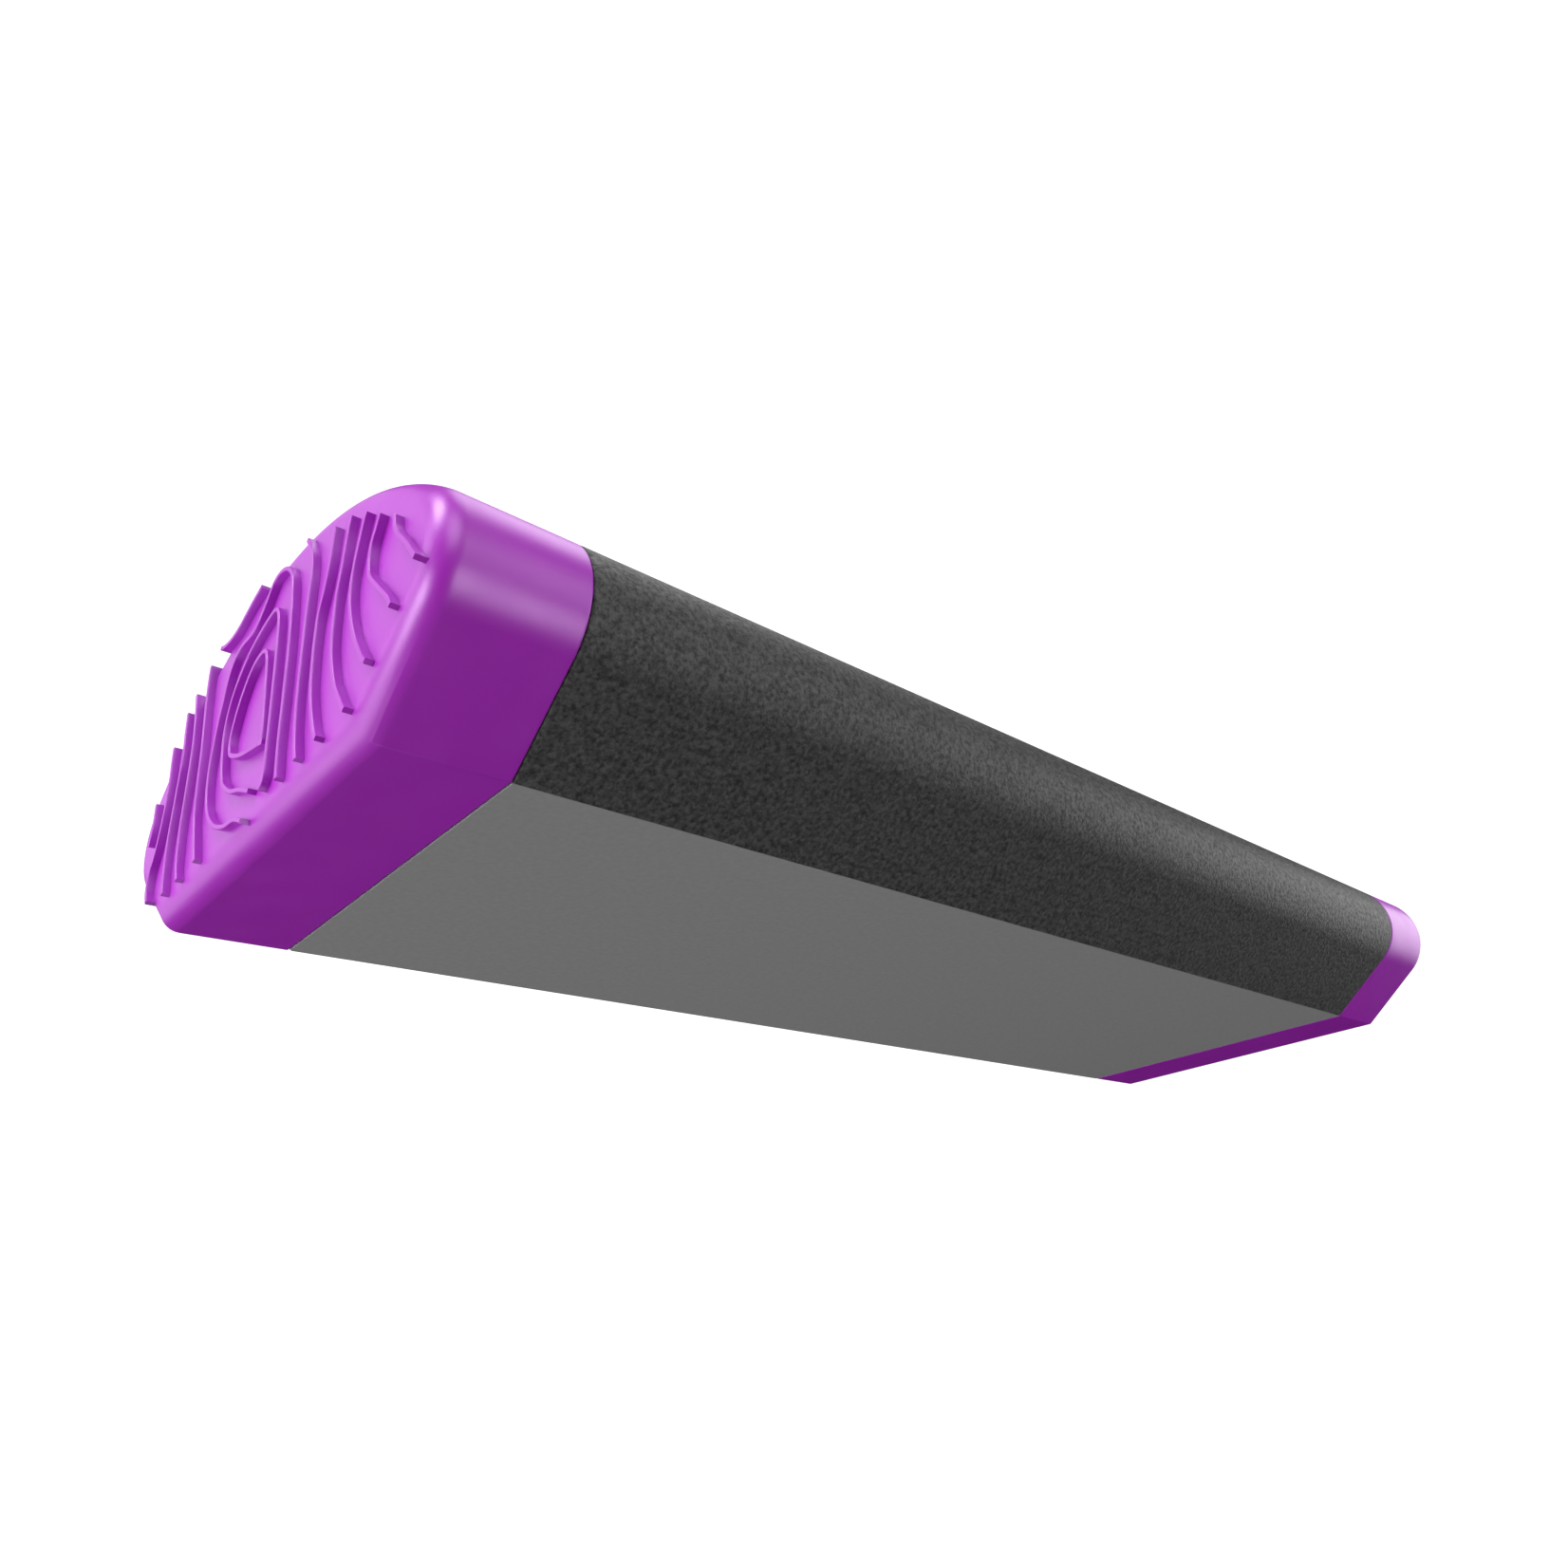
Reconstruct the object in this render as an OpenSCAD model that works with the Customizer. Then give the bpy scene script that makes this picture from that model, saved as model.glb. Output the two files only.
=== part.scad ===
// Two-way door wedge: a crowned bar with flared sides, a rubber grip skin, a flat base pad
// and two moulded end caps. X runs along the bar, Y across it and Z up from the floor.
// The origin is on the floor under the middle of the bar.

/* [Overall size] */
// Length over the contour ribs of both caps
total_length = 150; // [130:1:200]
// Height of the crown above the floor
height = 25.8; // [25:0.1:28]
// Width of the flat underside
base_width = 39.4; // [38:0.2:44]
// Slope of the flared sides above the floor, in degrees
side_angle = 37; // [35:1:40]
// Radius of the rounded shoulders
shoulder_radius = 6.1; // [5.6:0.1:6.6]
// Radius of the crowned top
crown_radius = 41.6; // [40:0.2:46]

/* [Skin and pad] */
// Thickness of the grip skin and of the base pad
skin_thickness = 1.6; // [1.2:0.1:2]
// Thickness of each bonding film
film_thickness = 0.15; // [0.1:0.05:0.3]

/* [Core profile] */
// Wall thickness of the hollow core
core_wall = 2; // [1.6:0.1:2.4]
// Thickness of the core's floor, which takes the screw heads
core_floor = 2.4; // [2.2:0.1:3]
// Thickness of each upright web in the core
web_thickness = 1.8; // [1.4:0.1:2.2]
// Distance between the two webs
web_gap = 16; // [12:0.5:18]

/* [End caps] */
// Length of a cap from its end face to the sleeve
cap_length = 11.2; // [10:0.1:14]
// Radius of the rounded edge round the end face
end_radius = 2; // [1.5:0.1:2.5]
// Chamfer round the cap where it meets the sleeve
joint_chamfer = 0.25; // [0.1:0.05:0.4]
// Thickness of the cap's walls
cap_wall = 2.2; // [2:0.1:3]
// Thickness of the cap's end wall
end_wall = 2.6; // [2:0.1:3]
// How far the spigots reach into the core
spigot_length = 14; // [12:0.5:20]
// Wall thickness of the spigots
spigot_wall = 1.8; // [1.4:0.1:2.2]
// Gap between a spigot and the core on each side
spigot_gap = 0.15; // [0.1:0.05:0.3]

/* [Contour relief] */
// How far the contour ribs stand out of the end face
rib_height = 0.65; // [0.4:0.05:1]
// Width of a contour rib
rib_width = 0.4; // [0.3:0.05:0.6]

/* [Screws] */
// Diameter of the screw thread
screw_diameter = 3; // [2.8:0.1:3.2]
// Diameter of the countersunk head
head_diameter = 5.6; // [5.2:0.1:5.8]
// Height of the countersunk head
head_height = 1.7; // [1.4:0.1:1.9]
// Length of a screw over its head
screw_length = 10; // [8:0.5:11]
// Distance of each screw from the middle of the bar's width
screw_offset = 14.2; // [13.8:0.1:14.6]
// Distance of each screw from the sleeve's end
screw_setback = 7; // [5:0.5:9]

/* [Hidden] */
$fn = 96;

face_x = total_length / 2 - rib_height;      // end face of a cap
joint_x = face_x - cap_length;               // plane where a cap meets the sleeve
core_inset = skin_thickness + film_thickness;
chamber_inset = core_inset + core_wall;
chamber_floor = core_inset + core_floor;
web_outer = web_gap / 2 + web_thickness;

half_base = base_width / 2;
crown_z = height - crown_radius;             // centre of the crown's arc
side_dir = [cos(side_angle), sin(side_angle)];
side_out = [sin(side_angle), -cos(side_angle)];
// The shoulder's centre lies shoulder_radius inside the side, and crown_radius -
// shoulder_radius from the crown's centre, so the shoulder is tangent to both.
shoulder_start = [half_base, 0] - side_out * shoulder_radius;
from_crown = shoulder_start - [0, crown_z];
along_side = from_crown * side_dir;
shoulder_run = sqrt(
    along_side ^ 2 - from_crown * from_crown + (crown_radius - shoulder_radius) ^ 2
) - along_side;
shoulder = shoulder_start + side_dir * shoulder_run;
crown_angle = atan2(shoulder[1] - crown_z, shoulder[0]);  // where the two arcs meet
arc_steps = 14;                              // facets of a shoulder, and of half the crown
wide = 200;                                  // larger than the whole section
rim_margin = 0.3;
// Ribs are rooted as deep as the rounded edge is at rim_margin inside the outline
rib_root = end_radius - sqrt(end_radius ^ 2 - (end_radius - rim_margin) ^ 2);

// Centre lines of the contour ribs on an end face, each as [across, up] points for a
// smooth curve. Ribs may run out over the rounded rim, but have to stay rim_margin
// inside the outline.
contour_lines = [
    [[-24.5, 14], [-24.75, 12.9], [-25.4, 11.9], [-26.2, 11], [-26.9, 10.1], [-27.6, 9.2],
     [-28.2, 8.4]],
    [[-22, 15.9], [-21.6, 15], [-21.1, 14], [-20.95, 13], [-21.05, 12], [-21.5, 10.9],
     [-23.2, 9], [-24.5, 7.6], [-25.15, 6.6]],
    [[-19.6, 17.7], [-19.2, 16.9], [-18.55, 14.6], [-18.2, 12.6], [-18.45, 10.4], [-19.7, 7.4],
     [-21.3, 5], [-22.05, 4.2]],
    [[-16.8, 19.2], [-16.4, 17.7], [-16.05, 15], [-15.7, 13.1], [-15.65, 11.5], [-15.95, 8.3],
     [-17.1, 5.2], [-18.6, 3], [-19.4, 2]],
    [[-13.75, 20.2], [-13.5, 17], [-13.05, 14.9], [-12.55, 13.4], [-12.4, 11.9], [-12.5, 9.5],
     [-13, 6.3], [-14.2, 3.2], [-15, 2]],
    [[-8, 22.8], [-8.9, 21.5], [-9.6, 20], [-9.9, 18], [-9.9, 14], [-10.1, 10.5], [-10.4, 6.5],
     [-10.9, 4], [-11.5, 2]],
    [[-8.1, 2], [-7.6, 5], [-7.3, 9.5], [-6.9, 14], [-6.1, 18.7], [-5.2, 21.4], [-3.4, 22.9],
     [-1.2, 23.1], [0.6, 21.4], [2.4, 20.2], [5.4, 20.2], [7.2, 19], [8.2, 15.5], [8.8, 12],
     [8.7, 8.9], [7.6, 6], [5.3, 3.8], [2.6, 2.6], [0.2, 2.2], [-1.6, 1.4]],
    [[-4.6, 2.7], [-5.3, 3.4], [-5.1, 6.2], [-4.7, 10.3], [-4.2, 14.5], [-3.5, 18.3],
     [-2.2, 19.5], [1.2, 18.8], [3.7, 17.4], [5.5, 15.3], [6.2, 12.6], [5.7, 9.8], [4.6, 7.2],
     [2.4, 5.5], [0, 4.6], [-2.4, 3.5]],
    [[-3.7, 6.7], [-3.4, 9], [-2.8, 12], [-2.2, 14.8], [-1.4, 16.2], [0.4, 16.3], [2, 15.3],
     [3.4, 13.4], [4.2, 11], [3.8, 9.4], [2.5, 8.6]],
    [[-4, 6.9], [-1.5, 7.4], [1, 8], [3, 8.8]],
    [[2.2, 24.6], [3.8, 24.2], [5.5, 23.6], [7, 23.1], [8.7, 22.9], [10.4, 23.1], [11.5, 23.5]],
    [[13.75, 22.8], [13.6, 20.5], [12.95, 17], [12.2, 13.7], [11.7, 10.5], [11.1, 7.2],
     [10, 4.5], [8.9, 2.1]],
    [[17, 21.4], [16.2, 19.1], [15.3, 15.5], [14.95, 11.4], [14.7, 7.2], [14, 3.8], [13.2, 2]],
    [[18.9, 20.4], [18.5, 18], [18, 15.5], [18, 10.5], [18, 7], [17.4, 3.8], [16.8, 2]],
    [[21.7, 18.1], [21.5, 16.5], [21.1, 14.5], [21, 11.5], [21.5, 8], [22.3, 6.2], [22.3, 4.2],
     [21.6, 2.9]],
    [[24.4, 13.4], [24.2, 12.2], [24.1, 10.7], [24.4, 9.2]]
];

// --- Outline of the section, drawn with x across and y up ---

function flip(p) = [-p[0], p[1]];
// Foot of the sloping side, for an outline that lies inset mm inside the outer one
function foot(inset) = [half_base - inset * tan(side_angle / 2), inset];

function arc(centre, radius, from, to, steps) = [
    for (i = [0 : steps])
        let (angle = from + (to - from) * i / steps)
            centre + radius * [cos(angle), sin(angle)]
];
function right_half(inset) = concat(
    [foot(inset)],
    arc(shoulder, shoulder_radius - inset, side_angle - 90, crown_angle, arc_steps),
    arc(
        [0, crown_z], crown_radius - inset,
        crown_angle + (90 - crown_angle) / arc_steps, 90, arc_steps - 1
    )
);

// Full section, inset mm inside the outer surface
module outline(inset = 0) {
    half = right_half(inset);
    polygon(concat(half, [for (i = [len(half) - 2 : -1 : 0]) flip(half[i])]));
}

module both_sides() {
    children();
    mirror([1, 0, 0]) children();
}

// Turns a shape drawn on the section, and extruded away from it, to lie along the bar
module along_bar(from_x) {
    translate([from_x, 0, 0]) rotate([90, 0, 90]) children();
}

// --- Core, skin and pad ---

// The two hollows beside the webs and the one between them
module side_chamber(gap = 0) {
    intersection() {
        outline(chamber_inset + gap);
        translate([web_outer + gap, chamber_floor]) square(wide);
    }
}

module middle_chamber() {
    intersection() {
        outline(chamber_inset);
        translate([-web_gap / 2, chamber_floor]) square([web_gap, wide]);
    }
}

// Places its child at each of the four screws, pointing up from the core's underside
module at_screws() {
    for (end = [-1, 1], side = [-1, 1])
        translate([end * (joint_x - screw_setback), side * screw_offset, core_inset])
            children();
}

module core_profile() {
    color([0.17, 0.17, 0.18]) difference() {
        along_bar(-joint_x) linear_extrude(2 * joint_x) difference() {
            outline(core_inset);
            both_sides() side_chamber();
            middle_chamber();
        }
        at_screws() {
            cylinder(h = head_height, d1 = head_diameter, d2 = screw_diameter);
            translate([0, 0, head_height / 2]) cylinder(h = core_floor, d = screw_diameter);
        }
    }
}

// The pad's share of the section, a trapezium with mitred ends
module pad_area(outer, inner) {
    polygon([foot(outer), foot(inner), flip(foot(inner)), flip(foot(outer))]);
}

// The skin's share, which is all the rest
module skin_area(outer, inner) {
    difference() {
        outline(outer);
        outline(inner);
        pad_area(outer, inner);
    }
}

module grip_sleeve() {
    color([0.2, 0.2, 0.2]) along_bar(-joint_x) linear_extrude(2 * joint_x)
        skin_area(0, skin_thickness);
}

module sleeve_film() {
    color([0.85, 0.8, 0.6]) along_bar(-joint_x) linear_extrude(2 * joint_x)
        skin_area(skin_thickness, core_inset);
}

module base_pad() {
    color([0.4, 0.4, 0.4]) along_bar(-joint_x) linear_extrude(2 * joint_x)
        pad_area(0, skin_thickness);
}

module pad_film() {
    color([0.85, 0.8, 0.6]) along_bar(-joint_x) linear_extrude(2 * joint_x)
        pad_area(skin_thickness, core_inset);
}

// --- End caps, drawn with their end face at z = 0 and the bar towards +z ---

// Outside of a cap: its end edge is rounded and its joint edge chamfered
module cap_shape() {
    round_steps = 8;
    slice = 0.001;
    hull() {
        for (i = [0 : round_steps])
            let (angle = 90 * i / round_steps)
                translate([0, 0, end_radius * (1 - sin(angle))])
                    linear_extrude(slice) outline(end_radius * (1 - cos(angle)));
        translate([0, 0, cap_length - joint_chamfer]) linear_extrude(slice) outline(0);
        translate([0, 0, cap_length - slice]) linear_extrude(slice) outline(joint_chamfer);
    }
}

// Points of a smooth curve through the given ones, and the same curve as a flat band
function curve_point(a, b, c, d, t) = 0.5 * (
    2 * b + (c - a) * t + (2 * a - 5 * b + 4 * c - d) * t ^ 2 + (3 * b - a - 3 * c + d) * t ^ 3
);
function smooth(p, steps = 3) = [
    for (i = [0 : len(p) - 2], s = [0 : steps - 1])
        curve_point(p[max(i - 1, 0)], p[i], p[i + 1], p[min(i + 2, len(p) - 1)], s / steps),
    p[len(p) - 1]
];
function left_of(v) = [-v[1], v[0]] / norm(v);
function shifted(p, by) = [
    for (i = [0 : len(p) - 1])
        p[i] + by * left_of(p[min(i + 1, len(p) - 1)] - p[max(i - 1, 0)])
];
function backwards(p) = [for (i = [len(p) - 1 : -1 : 0]) p[i]];

module contour_rib(line) {
    curve = smooth(line);
    polygon(concat(shifted(curve, rib_width / 2), backwards(shifted(curve, -rib_width / 2))));
}

module contour_relief() {
    translate([0, 0, -rib_height]) linear_extrude(rib_height + rib_root)
        for (line = contour_lines) contour_rib(line);
}

// A hollow spigot that fills one side chamber of the core, with a boss for the screw
module spigot() {
    boss_diameter = screw_diameter + 4;      // leaves a 2 mm wall round the bore
    bore_depth = screw_length - core_floor;
    bore_cover = 1;                          // closes the bore's far end
    screw_z = cap_length + screw_setback;
    difference() {
        union() {
            translate([0, 0, end_wall / 2]) linear_extrude(cap_length + spigot_length - end_wall / 2)
                difference() {
                    side_chamber(spigot_gap);
                    intersection() {
                        outline(chamber_inset + spigot_gap + spigot_wall);
                        translate([web_outer + spigot_gap + spigot_wall, chamber_floor + spigot_wall])
                            square(wide);
                    }
                }
            translate([screw_offset, chamber_floor, screw_z]) rotate([-90, 0, 0])
                cylinder(h = bore_depth + bore_cover, d = boss_diameter);
        }
        translate([screw_offset, 0, screw_z]) rotate([-90, 0, 0])
            cylinder(h = chamber_floor + bore_depth, d = screw_diameter);
    }
}

module end_cap() {
    difference() {
        cap_shape();
        translate([0, 0, end_wall]) linear_extrude(cap_length) outline(cap_wall);
    }
    both_sides() spigot();
    contour_relief();
}

module end_cap_left() {
    color([0.5, 0.12, 0.58]) along_bar(-face_x) end_cap();
}

module end_cap_right() {
    rotate(180) end_cap_left();
}

// --- Screws ---

module cap_screw() {
    thread_pitch = 1;
    thread_depth = 0.35;
    tip_length = 1.2;
    recess = [3, 0.7, 1];                    // length, width and depth of each recess arm
    thread_radius = screw_diameter / 2;
    root_radius = thread_radius - thread_depth;
    thread_end = screw_length - tip_length;
    turns = floor((thread_end - core_floor) / thread_pitch);
    thread_start = thread_end - turns * thread_pitch;
    difference() {
        rotate_extrude() polygon(concat(
            [[0, 0], [head_diameter / 2, 0], [thread_radius, head_height],
             [root_radius, head_height]],
            [for (i = [0 : turns - 1], p = [[root_radius, 0], [thread_radius, 0.5]])
                [p[0], thread_start + (i + p[1]) * thread_pitch]],
            [[root_radius, thread_end], [0, screw_length]]
        ));
        for (turn = [0, 90]) rotate(turn)
            cube([recess[0], recess[1], 2 * recess[2]], center = true);
    }
}

module cap_screws() {
    color([0.75, 0.76, 0.78]) at_screws() cap_screw();
}

core_profile();
sleeve_film();
grip_sleeve();
pad_film();
base_pad();
end_cap_left();
end_cap_right();
cap_screws();
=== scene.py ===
"""Looks for the two-way door wedge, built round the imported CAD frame.

X runs along the bar, Y across it and Z up, in metres. The grip sleeve, the base pad and the
two end caps get finer meshes than their CAD nodes; what is hidden inside keeps its CAD shape.
"""

import math

import bmesh
import bpy
from mathutils import Euler, Matrix, Vector


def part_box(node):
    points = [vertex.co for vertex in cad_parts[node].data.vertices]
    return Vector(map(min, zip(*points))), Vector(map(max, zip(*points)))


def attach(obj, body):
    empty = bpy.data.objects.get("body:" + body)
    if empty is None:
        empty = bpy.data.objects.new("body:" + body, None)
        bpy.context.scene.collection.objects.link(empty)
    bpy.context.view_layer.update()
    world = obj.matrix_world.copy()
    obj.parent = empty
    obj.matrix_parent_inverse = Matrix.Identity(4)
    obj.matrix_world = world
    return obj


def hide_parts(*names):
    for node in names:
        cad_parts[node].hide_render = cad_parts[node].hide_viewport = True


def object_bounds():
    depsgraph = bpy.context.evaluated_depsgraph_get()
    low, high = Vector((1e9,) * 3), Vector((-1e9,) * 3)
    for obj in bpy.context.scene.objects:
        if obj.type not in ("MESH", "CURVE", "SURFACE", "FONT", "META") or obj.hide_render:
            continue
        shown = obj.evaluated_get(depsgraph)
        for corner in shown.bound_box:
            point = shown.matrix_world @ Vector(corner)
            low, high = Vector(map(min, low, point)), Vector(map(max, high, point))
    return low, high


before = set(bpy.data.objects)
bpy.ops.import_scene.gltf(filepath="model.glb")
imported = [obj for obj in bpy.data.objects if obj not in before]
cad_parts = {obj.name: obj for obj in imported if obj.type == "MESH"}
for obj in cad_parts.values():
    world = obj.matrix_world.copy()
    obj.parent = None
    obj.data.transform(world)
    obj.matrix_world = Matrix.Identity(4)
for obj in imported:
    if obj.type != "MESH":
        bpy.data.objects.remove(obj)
cad_lo, cad_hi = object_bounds()

MM = 0.001

# --- Sizes, from the frame where it has them -----------------------------------------------

sleeve_lo, sleeve_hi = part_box("grip_sleeve")
pad_lo, pad_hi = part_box("base_pad")

JOINT_X = sleeve_hi.x  # plane where a cap meets the sleeve
HEIGHT = sleeve_hi.z
HALF_BASE = pad_hi.y
SKIN = pad_hi.z  # thickness of the sleeve and of the pad
RIB_HEIGHT = 0.65 * MM
FACE_X = cad_hi.x - RIB_HEIGHT  # end face of a cap

SIDE_ANGLE = math.radians(37)
SHOULDER_RADIUS = 6.1 * MM
CROWN_RADIUS = 41.6 * MM
END_RADIUS = 2 * MM
JOINT_RADIUS = 0.25 * MM
CORNER_RADIUS = 0.15 * MM
CAP_WALL = 2.2 * MM
END_WALL = 2.6 * MM
RIB_WIDTH = 0.4 * MM
RIB_EDGE = 0.08 * MM
RIB_ROOT = 1.0 * MM

# Centre lines of the contour ribs on an end face, as (across, up) points in millimetres
CONTOUR_LINES = [
    [(-24.5, 14), (-24.75, 12.9), (-25.4, 11.9), (-26.2, 11), (-26.9, 10.1), (-27.6, 9.2),
     (-28.2, 8.4)],
    [(-22, 15.9), (-21.6, 15), (-21.1, 14), (-20.95, 13), (-21.05, 12), (-21.5, 10.9),
     (-23.2, 9), (-24.5, 7.6), (-25.15, 6.6)],
    [(-19.6, 17.7), (-19.2, 16.9), (-18.55, 14.6), (-18.2, 12.6), (-18.45, 10.4), (-19.7, 7.4),
     (-21.3, 5), (-22.05, 4.2)],
    [(-16.8, 19.2), (-16.4, 17.7), (-16.05, 15), (-15.7, 13.1), (-15.65, 11.5), (-15.95, 8.3),
     (-17.1, 5.2), (-18.6, 3), (-19.4, 2)],
    [(-13.75, 20.2), (-13.5, 17), (-13.05, 14.9), (-12.55, 13.4), (-12.4, 11.9), (-12.5, 9.5),
     (-13, 6.3), (-14.2, 3.2), (-15, 2)],
    [(-8, 22.8), (-8.9, 21.5), (-9.6, 20), (-9.9, 18), (-9.9, 14), (-10.1, 10.5), (-10.4, 6.5),
     (-10.9, 4), (-11.5, 2)],
    [(-8.1, 2), (-7.6, 5), (-7.3, 9.5), (-6.9, 14), (-6.1, 18.7), (-5.2, 21.4), (-3.4, 22.9),
     (-1.2, 23.1), (0.6, 21.4), (2.4, 20.2), (5.4, 20.2), (7.2, 19), (8.2, 15.5), (8.8, 12),
     (8.7, 8.9), (7.6, 6), (5.3, 3.8), (2.6, 2.6), (0.2, 2.2), (-1.6, 1.4)],
    [(-4.6, 2.7), (-5.3, 3.4), (-5.1, 6.2), (-4.7, 10.3), (-4.2, 14.5), (-3.5, 18.3),
     (-2.2, 19.5), (1.2, 18.8), (3.7, 17.4), (5.5, 15.3), (6.2, 12.6), (5.7, 9.8), (4.6, 7.2),
     (2.4, 5.5), (0, 4.6), (-2.4, 3.5)],
    [(-3.7, 6.7), (-3.4, 9), (-2.8, 12), (-2.2, 14.8), (-1.4, 16.2), (0.4, 16.3), (2, 15.3),
     (3.4, 13.4), (4.2, 11), (3.8, 9.4), (2.5, 8.6)],
    [(-4, 6.9), (-1.5, 7.4), (1, 8), (3, 8.8)],
    [(2.2, 24.6), (3.8, 24.2), (5.5, 23.6), (7, 23.1), (8.7, 22.9), (10.4, 23.1), (11.5, 23.5)],
    [(13.75, 22.8), (13.6, 20.5), (12.95, 17), (12.2, 13.7), (11.7, 10.5), (11.1, 7.2),
     (10, 4.5), (8.9, 2.1)],
    [(17, 21.4), (16.2, 19.1), (15.3, 15.5), (14.95, 11.4), (14.7, 7.2), (14, 3.8), (13.2, 2)],
    [(18.9, 20.4), (18.5, 18), (18, 15.5), (18, 10.5), (18, 7), (17.4, 3.8), (16.8, 2)],
    [(21.7, 18.1), (21.5, 16.5), (21.1, 14.5), (21, 11.5), (21.5, 8), (22.3, 6.2), (22.3, 4.2),
     (21.6, 2.9)],
    [(24.4, 13.4), (24.2, 12.2), (24.1, 10.7), (24.4, 9.2)],
]

# --- The bar's section, as (y, z) ------------------------------------------------------------

CROWN_Z = HEIGHT - CROWN_RADIUS
side_dir = Vector((math.cos(SIDE_ANGLE), math.sin(SIDE_ANGLE)))
side_out = Vector((math.sin(SIDE_ANGLE), -math.cos(SIDE_ANGLE)))
# The shoulder is tangent to the flared side and to the crown
shoulder_start = Vector((HALF_BASE, 0)) - side_out * SHOULDER_RADIUS
from_crown = shoulder_start - Vector((0, CROWN_Z))
along_side = from_crown.dot(side_dir)
shoulder_run = (
    math.sqrt(
        along_side**2 - from_crown.length_squared + (CROWN_RADIUS - SHOULDER_RADIUS) ** 2
    )
    - along_side
)
shoulder = shoulder_start + side_dir * shoulder_run
crown_angle = math.atan2(shoulder.y - CROWN_Z, shoulder.x)


def arc(centre, radius, start, end, steps):
    angles = [start + (end - start) * i / steps for i in range(steps + 1)]
    return [centre + radius * Vector((math.cos(a), math.sin(a))) for a in angles]


def foot(inset):
    """Foot of the flared side of an outline inset from the outer one."""
    return Vector((HALF_BASE - inset * math.tan(SIDE_ANGLE / 2), inset))


def right_half(inset, corner=0.0):
    """Half outline from the foot to the middle of the crown, with a rounded foot if asked.

    The CAD shoulder is made of facets and stops a few micrometres short of the true arc, so
    the widest points are held at the CAD box.
    """
    corner_steps, shoulder_steps, crown_steps = 4, 36, 40
    if corner > 0:
        # the distance from the rounded corner's centre to both faces is the corner radius
        reach = max(inset, corner)
        turn = math.pi / 2 - SIDE_ANGLE
        centre = Vector((HALF_BASE - reach * math.tan(SIDE_ANGLE / 2), reach))
        points = arc(centre, reach - inset, -math.pi / 2, -turn, corner_steps)
    else:
        points = [foot(inset)]
    points += arc(
        shoulder, SHOULDER_RADIUS - inset, SIDE_ANGLE - math.pi / 2, crown_angle, shoulder_steps
    )
    points += arc(
        Vector((0, CROWN_Z)), CROWN_RADIUS - inset, crown_angle, math.pi / 2, crown_steps
    )[1:]
    return [Vector((min(p.x, cad_hi.y), p.y)) for p in points]


def over_the_top(inset, corner=0.0):
    """Open outline from the right foot over the crown to the left foot."""
    half = right_half(inset, corner)
    return half + [Vector((-p.x, p.y)) for p in reversed(half[:-1])]


# --- Mesh helpers ------------------------------------------------------------------------------


def new_piece(name, bm):
    bmesh.ops.remove_doubles(bm, verts=bm.verts, dist=0.002 * MM)
    bmesh.ops.recalc_face_normals(bm, faces=bm.faces)
    mesh = bpy.data.meshes.new(name)
    bm.to_mesh(mesh)
    bm.free()
    piece = bpy.data.objects.new(name, mesh)
    bpy.context.scene.collection.objects.link(piece)
    return piece


def loft(bm, loops):
    """Joins closed loops of 3-D points, all of one length, with quads. The ends stay open."""
    rings = [[bm.verts.new(p) for p in loop] for loop in loops]
    count = len(rings[0])
    for a, b in zip(rings, rings[1:]):
        for i in range(count):
            j = (i + 1) % count
            bm.faces.new((a[i], a[j], b[j], b[i]))
    return rings


def place(points, x):
    """Puts (y, z) points on the plane at x."""
    return [Vector((x, p.x, p.y)) for p in points]


def smooth_shading(piece, angle=30):
    """Smooth faces with sharp edges over the angle, and flat faces kept flat."""
    bm = bmesh.new()
    bm.from_mesh(piece.data)
    for face in bm.faces:
        face.smooth = True
    for edge in bm.edges:
        edge.smooth = len(edge.link_faces) == 2 and edge.calc_face_angle() < math.radians(angle)
    bm.to_mesh(piece.data)
    bm.free()
    normals = piece.modifiers.new("normals", "WEIGHTED_NORMAL")
    normals.keep_sharp = True
    normals.weight = 100


def join(piece, other):
    """Joins the other object into the piece, and removes the other object."""
    step = piece.modifiers.new("step", "BOOLEAN")
    step.operation = "UNION"
    step.solver = "EXACT"
    step.use_self = True
    step.object = other
    graph = bpy.context.evaluated_depsgraph_get()
    result = bpy.data.meshes.new_from_object(piece.evaluated_get(graph))
    piece.modifiers.remove(step)
    old = piece.data
    piece.data = result
    bpy.data.meshes.remove(old)
    bpy.data.objects.remove(other)


# --- End caps ----------------------------------------------------------------------------------


def smooth_line(points, steps=6):
    """Points of a smooth curve through the given ones."""
    p = [Vector(q) * MM for q in points]
    out = []
    for i in range(len(p) - 1):
        a, b, c, d = p[max(i - 1, 0)], p[i], p[i + 1], p[min(i + 2, len(p) - 1)]
        for s in range(steps):
            t = s / steps
            out.append(
                0.5
                * (
                    2 * b
                    + (c - a) * t
                    + (2 * a - 5 * b + 4 * c - d) * t**2
                    + (3 * b - a - 3 * c + d) * t**3
                )
            )
    return out + [p[-1]]


def rib_profile():
    """(sideways, outwards) points of a rib with rounded top edges, on the end face."""
    half, steps = RIB_WIDTH / 2, 3
    left = arc(
        Vector((half - RIB_EDGE, RIB_HEIGHT - RIB_EDGE)), RIB_EDGE, 0, math.pi / 2, steps
    )
    points = [Vector((half, -RIB_ROOT))] + left
    return points + [Vector((-p.x, p.y)) for p in reversed(points)]


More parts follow.
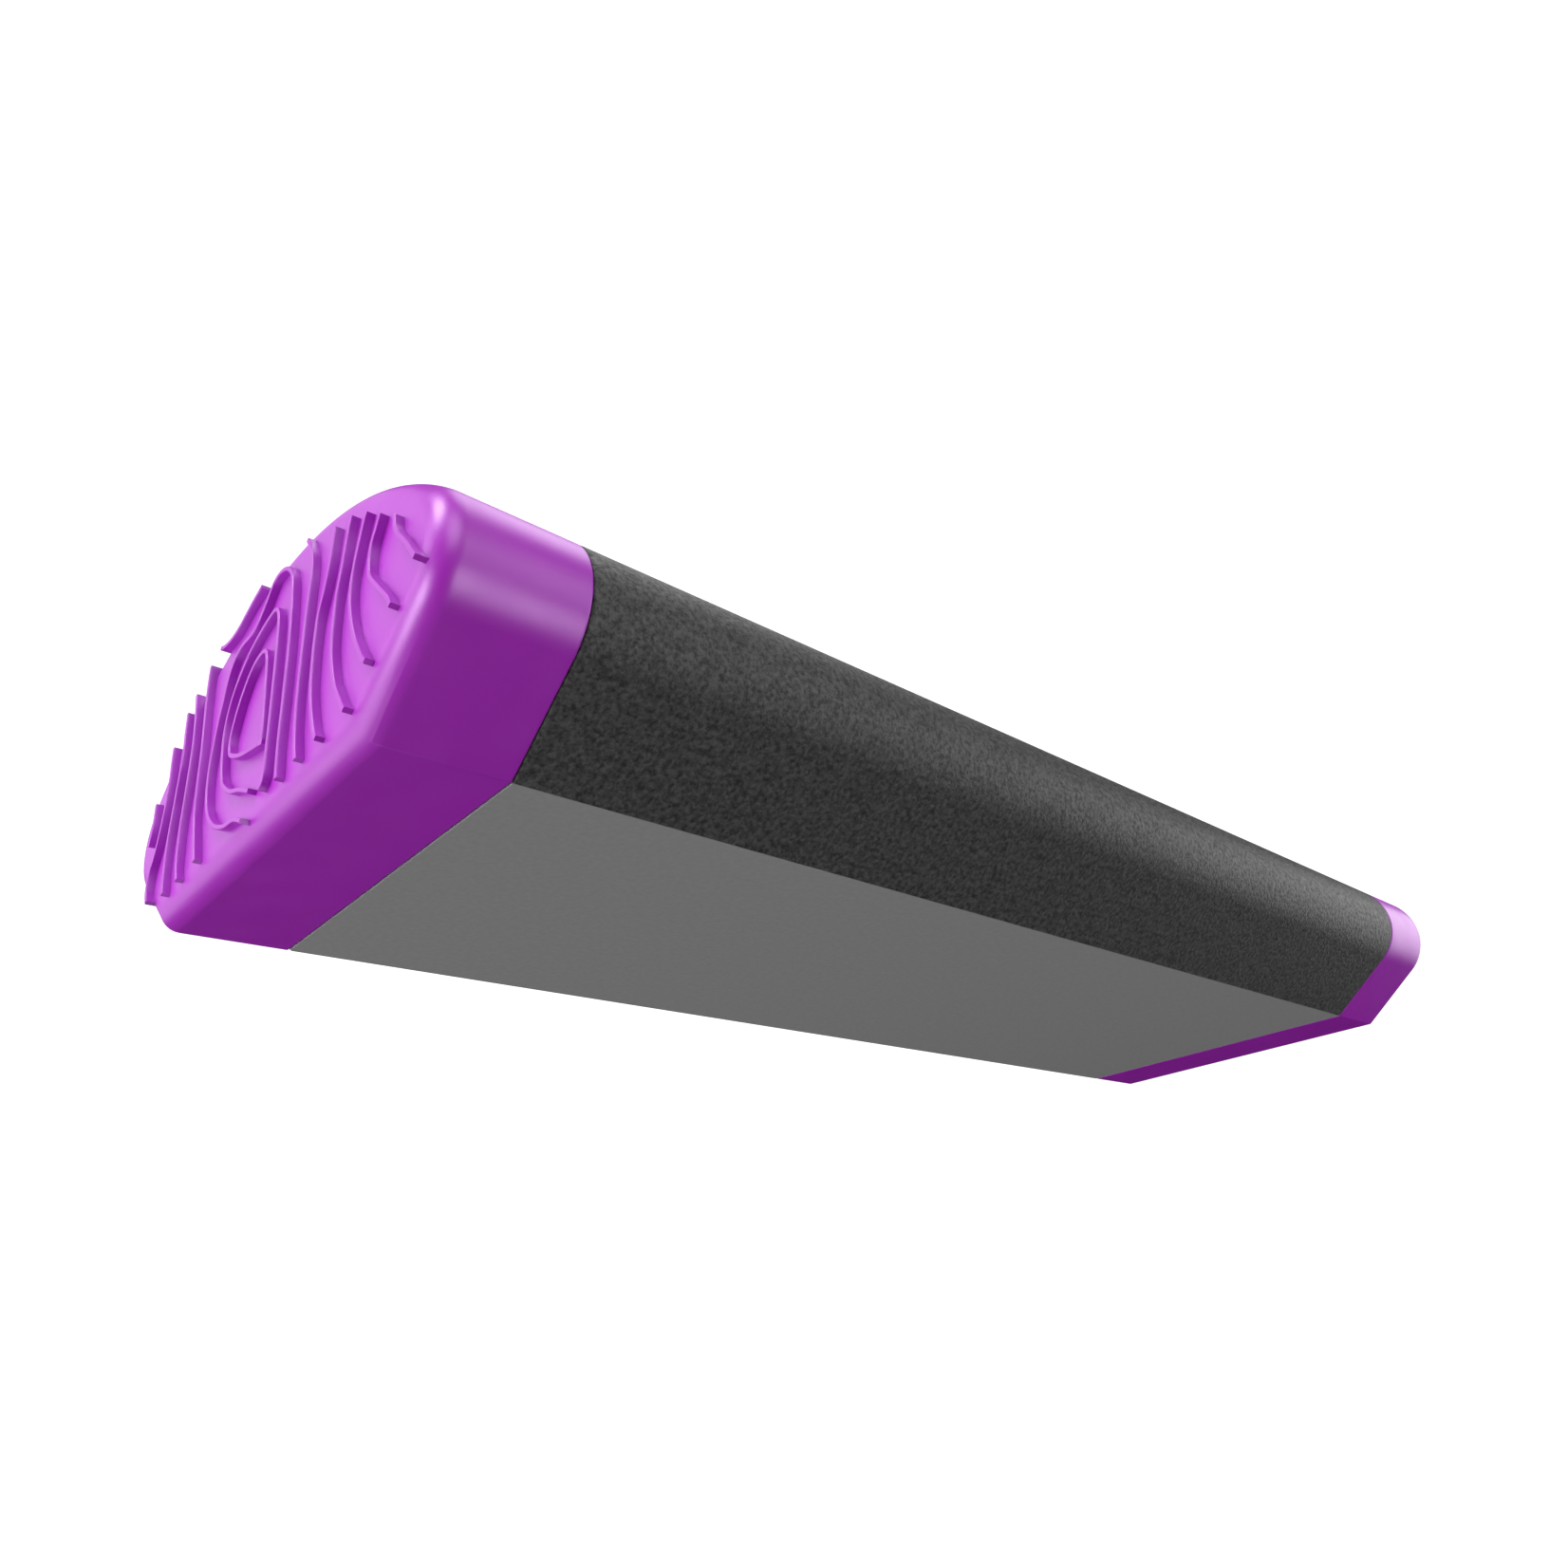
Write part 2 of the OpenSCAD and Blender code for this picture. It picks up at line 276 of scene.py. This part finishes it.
def contour_ribs():
    """All the ribs of the left cap. They are rooted deep enough to reach the rounded rim."""
    bm = bmesh.new()
    profile = rib_profile()
    for line in CONTOUR_LINES:
        curve = smooth_line(line)
        loops = []
        for i, p in enumerate(curve):
            along = (curve[min(i + 1, len(curve) - 1)] - curve[max(i - 1, 0)]).normalized()
            side = Vector((-along.y, along.x))
            loops.append(
                [
                    Vector((-FACE_X - q.y, p.x + side.x * q.x, p.y + side.y * q.x))
                    for q in profile
                ]
            )
        rings = loft(bm, loops)
        bm.faces.new(rings[0])
        bm.faces.new(reversed(rings[-1]))
    return new_piece("ribs", bm)


def cap_mesh():
    """The left cap: rounded shell, open towards the core, with its contour ribs."""
    round_steps, joint_steps = 14, 4
    quarter = math.pi / 2
    loops = []
    for i in range(round_steps + 1):
        a = quarter * i / round_steps
        loops.append(
            place(
                over_the_top(END_RADIUS * (1 - math.cos(a)), CORNER_RADIUS),
                -FACE_X + END_RADIUS * (1 - math.sin(a)),
            )
        )
    loops.reverse()
    for i in range(joint_steps + 1):
        a = quarter * i / joint_steps
        loops.append(
            place(
                over_the_top(JOINT_RADIUS * (1 - math.cos(a)), CORNER_RADIUS),
                -JOINT_X - JOINT_RADIUS * (1 - math.sin(a)),
            )
        )
    loops.append(place(over_the_top(CAP_WALL, CORNER_RADIUS), -JOINT_X))
    loops.append(place(over_the_top(CAP_WALL, CORNER_RADIUS), -FACE_X + END_WALL))
    bm = bmesh.new()
    rings = loft(bm, loops)
    bm.faces.new(rings[0])
    bm.faces.new(rings[-1])
    cap = new_piece("cap_moulding_left", bm)
    join(cap, contour_ribs())
    smooth_shading(cap)
    return cap


# --- Sleeve and pad ------------------------------------------------------------------------------


def sleeve_mesh():
    end_steps = 4
    bm = bmesh.new()
    inner = over_the_top(SKIN)
    loops = []
    for i in range(end_steps + 1):
        a = math.pi / 2 * i / end_steps
        outer = over_the_top(JOINT_RADIUS * (1 - math.sin(a)))
        x = JOINT_X - JOINT_RADIUS * (1 - math.cos(a))
        loops.append((outer, x))
    ends = [(o, -x) for o, x in loops] + [(o, x) for o, x in reversed(loops)]
    rings = loft(bm, [place(o, x) + place(list(reversed(inner)), x) for o, x in ends])
    count = len(inner)
    for ring in (rings[0], rings[-1]):
        for i in range(count - 1):
            bm.faces.new((ring[i], ring[i + 1], ring[-2 - i], ring[-1 - i]))
    sleeve = new_piece("sleeve_skin", bm)
    smooth_shading(sleeve)
    return sleeve


def pad_mesh():
    steps = 4
    bm = bmesh.new()
    bevel = 0.12 * MM
    joint_gap = 0.03 * MM
    half = HALF_BASE - joint_gap
    loops = []
    for i in range(steps + 1):
        a = math.pi / 2 * i / steps
        back = bevel * (1 - math.sin(a))
        z = bevel * (1 - math.cos(a))
        y = half - back - z * math.tan(SIDE_ANGLE / 2)
        x = JOINT_X - back
        loops.append([(-x, -y, z), (x, -y, z), (x, y, z), (-x, y, z)])
    top = foot(SKIN)
    loops.append(
        [
            (-JOINT_X, -top.x, SKIN), (JOINT_X, -top.x, SKIN),
            (JOINT_X, top.x, SKIN), (-JOINT_X, top.x, SKIN),
        ]
    )
    rings = loft(bm, [[Vector(p) for p in loop] for loop in loops])
    bm.faces.new(rings[0])
    bm.faces.new(rings[-1])
    pad = new_piece("base_pad_sheet", bm)
    smooth_shading(pad)
    return pad


# --- Materials ------------------------------------------------------------------------------------


def new_material(name, **settings):
    material = bpy.data.materials.new(name)
    material.use_nodes = True
    shader = material.node_tree.nodes["Principled BSDF"]
    for key, value in settings.items():
        shader.inputs[key.replace("_", " ")].default_value = value
    return material, material.node_tree, shader


def noise(tree, scale, detail=2.0, roughness=0.5):
    coordinates = tree.nodes.new("ShaderNodeTexCoord")
    node = tree.nodes.new("ShaderNodeTexNoise")
    node.inputs["Scale"].default_value = scale
    node.inputs["Detail"].default_value = detail
    node.inputs["Roughness"].default_value = roughness
    tree.links.new(coordinates.outputs["Object"], node.inputs["Vector"])
    return node.outputs["Fac"]


def ramp(tree, source, stops):
    node = tree.nodes.new("ShaderNodeValToRGB")
    while len(node.color_ramp.elements) < len(stops):
        node.color_ramp.elements.new(0.5)
    for element, (position, colour) in zip(node.color_ramp.elements, stops):
        element.position = position
        element.color = (*colour, 1)
    tree.links.new(source, node.inputs["Fac"])
    return node.outputs["Color"]


def level(tree, source, low, high):
    node = tree.nodes.new("ShaderNodeMapRange")
    node.inputs["From Min"].default_value = 0.3
    node.inputs["From Max"].default_value = 0.7
    node.inputs["To Min"].default_value = low
    node.inputs["To Max"].default_value = high
    tree.links.new(source, node.inputs["Value"])
    return node.outputs["Result"]


def bump(tree, shader, source, distance, strength=1.0):
    node = tree.nodes.new("ShaderNodeBump")
    node.inputs["Strength"].default_value = strength
    node.inputs["Distance"].default_value = distance
    tree.links.new(source, node.inputs["Height"])
    tree.links.new(node.outputs["Normal"], shader.inputs["Normal"])


def cap_plastic():
    material, tree, shader = new_material(
        "cap_plastic", Specular_IOR_Level=0.95, Metallic=0.06
    )
    colour = ramp(
        tree, noise(tree, 90, 3), [(0.35, (0.40, 0.0175, 0.515)), (0.65, (0.425, 0.0195, 0.545))]
    )
    tree.links.new(colour, shader.inputs["Base Color"])
    tree.links.new(level(tree, noise(tree, 260, 3), 0.36, 0.42), shader.inputs["Roughness"])
    bump(tree, shader, noise(tree, 2600, 2), 0.004 * MM, 0.5)
    return material


def grip_rubber():
    material, tree, shader = new_material("grip_rubber", Specular_IOR_Level=0.46)
    grain = noise(tree, 2400, 3, 0.7)
    colour = ramp(
        tree, grain, [(0.36, (0.008, 0.008, 0.008)), (0.64, (0.08, 0.08, 0.08))]
    )
    tree.links.new(colour, shader.inputs["Base Color"])
    tree.links.new(level(tree, grain, 0.62, 0.5), shader.inputs["Roughness"])
    bump(tree, shader, grain, 0.14 * MM, 0.9)
    return material


def pad_rubber():
    material, tree, shader = new_material("pad_rubber", Specular_IOR_Level=0.22)
    colour = ramp(
        tree, noise(tree, 1800, 2), [(0.35, (0.27, 0.27, 0.27)), (0.65, (0.29, 0.29, 0.29))]
    )
    tree.links.new(colour, shader.inputs["Base Color"])
    tree.links.new(level(tree, noise(tree, 700, 2), 0.75, 0.85), shader.inputs["Roughness"])
    bump(tree, shader, noise(tree, 2400, 2), 0.01 * MM, 0.5)
    return material


def hidden_material(name, dark, light, roughness, metallic=0.0):
    material, tree, shader = new_material(name, Metallic=metallic)
    colour = ramp(tree, noise(tree, 300, 3), [(0.35, dark), (0.65, light)])
    tree.links.new(colour, shader.inputs["Base Color"])
    tree.links.new(
        level(tree, noise(tree, 500, 2), roughness, roughness + 0.1), shader.inputs["Roughness"]
    )
    bump(tree, shader, noise(tree, 1500, 2), 0.01 * MM, 0.4)
    return material


def paint(thing, material):
    thing.data.materials.clear()
    thing.data.materials.append(material)


# --- Pieces ---------------------------------------------------------------------------------------

plastic, rubber, pad_grey = cap_plastic(), grip_rubber(), pad_rubber()

left_cap = cap_mesh()
right_cap = left_cap.copy()
right_cap.data = left_cap.data.copy()
right_cap.name = "cap_moulding_right"
right_cap.data.transform(Matrix.Rotation(math.pi, 4, "Z"))
bpy.context.scene.collection.objects.link(right_cap)

visible = [
    (left_cap, "end_cap_left", "cap_plastic", plastic),
    (right_cap, "end_cap_right", "cap_plastic", plastic),
    (sleeve_mesh(), "grip_sleeve", "grip_rubber", rubber),
    (pad_mesh(), "base_pad", "pad_rubber", pad_grey),
]
for piece, node, slot, material in visible:
    paint(piece, material)
    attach(piece, "root")
    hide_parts(node)

hidden = {
    "core_profile": hidden_material("core_plastic", (0.02,) * 3, (0.03,) * 3, 0.45),
    "sleeve_film": hidden_material("film", (0.6, 0.52, 0.3), (0.7, 0.62, 0.4), 0.5),
    "pad_film": hidden_material("film_pad", (0.6, 0.52, 0.3), (0.7, 0.62, 0.4), 0.5),
    "cap_screws": hidden_material("screw_steel", (0.5,) * 3, (0.6,) * 3, 0.3, 1.0),
}
for node, material in hidden.items():
    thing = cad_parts[node]
    for i in range(len(thing.material_slots)):
        thing.material_slots[i].material = material

# --- Floor, light and camera ----------------------------------------------------------------------

# The camera looks up at the underside, so the floor lies well below the bar and the low lamps
FLOOR_Z = -1.2
FLOOR_HALF = 80
WHITE = 1.2  # brightness of the floor and of the backdrop
bm = bmesh.new()
corners = [
    (-FLOOR_HALF, -FLOOR_HALF), (FLOOR_HALF, -FLOOR_HALF),
    (FLOOR_HALF, FLOOR_HALF), (-FLOOR_HALF, FLOOR_HALF),
]
bm.faces.new([bm.verts.new((x, y, FLOOR_Z)) for x, y in corners])
floor = new_piece("floor", bm)
floor_material, _, floor_shader = new_material("floor", Roughness=0.9)
floor_shader.inputs["Base Color"].default_value = (0.9, 0.9, 0.9, 1)
floor_shader.inputs["Emission Color"].default_value = (1, 1, 1, 1)
floor_shader.inputs["Emission Strength"].default_value = WHITE
paint(floor, floor_material)
floor.visible_diffuse = floor.visible_glossy = False

world = bpy.data.worlds.new("studio")
bpy.context.scene.world = world
world.use_nodes = True
nodes, links = world.node_tree.nodes, world.node_tree.links
# a white backdrop that only the camera sees, so the lamps alone light the object
backdrop = nodes["Background"]
backdrop.inputs["Color"].default_value = (1, 1, 1, 1)
backdrop.inputs["Strength"].default_value = WHITE
unlit = nodes.new("ShaderNodeBackground")
unlit.inputs["Color"].default_value = (0, 0, 0, 1)
rays = nodes.new("ShaderNodeLightPath")
choice = nodes.new("ShaderNodeMixShader")
links.new(rays.outputs["Is Camera Ray"], choice.inputs["Fac"])
links.new(unlit.outputs["Background"], choice.inputs[1])
links.new(backdrop.outputs["Background"], choice.inputs[2])
links.new(choice.outputs["Shader"], nodes["World Output"].inputs["Surface"])


LAMP_DISTANCE = 0.8


def soft_lamp(name, direction, brightness, size=0.56):
    """A round soft light that faces the object from the given direction."""
    light = bpy.data.lights.new(name, "AREA")
    light.shape = "DISK"
    light.size = size
    light.energy = brightness * math.pi * size**2
    lamp = bpy.data.objects.new(name, light)
    aim = Vector(direction).normalized()
    lamp.location = aim * LAMP_DISTANCE + Vector((0, 0, HEIGHT / 2))
    lamp.rotation_euler = aim.to_track_quat("Z", "Y").to_euler()
    lamp.visible_camera = False
    bpy.context.scene.collection.objects.link(lamp)


soft_lamp("end_light", (-0.97, 0.02, -0.22), 8.5, 0.37)
soft_lamp("left_high_light", (-0.84, 0.35, 0.41), 1.6)
soft_lamp("edge_light", (-0.62, -0.02, 0.78), 9, 0.33)
soft_lamp("left_low_light", (-0.75, 0.52, -0.41), 1.8)
soft_lamp("front_high_light", (-0.39, -0.75, 0.53), 2.4)
soft_lamp("front_right_light", (0.4, -0.85, 0.34), 1.3)
soft_lamp("front_low_light", (0.22, -0.88, -0.4), 3.2, 0.42)
soft_lamp("top_light", (0.25, 0, 0.97), 2.2)
soft_lamp("right_light", (0.93, -0.3, 0.14), 2.5)
soft_lamp("under_light", (-0.15, 0.3, -0.94), 1.25)
soft_lamp("far_light", (-0.57, 0.81, 0.09), 0.7)
soft_lamp("far_high_light", (-0.28, 0.74, 0.61), 0.6)

CAMERA_AT = (-97.78 * MM, -82.28 * MM, -36.69 * MM)
CAMERA_TURN = (116.859, 4.331, -41.669)  # degrees
CAMERA_LENS = 26.404  # millimetres, for a sensor 36 mm wide
camera = bpy.data.cameras.new("camera")
camera.sensor_width = 36
camera.lens = CAMERA_LENS
camera.clip_start = 0.01
eye = bpy.data.objects.new("camera", camera)
eye.location = CAMERA_AT
eye.rotation_euler = Euler([math.radians(a) for a in CAMERA_TURN])
bpy.context.scene.collection.objects.link(eye)
bpy.context.scene.camera = eye
bpy.context.scene.view_settings.view_transform = "Standard"
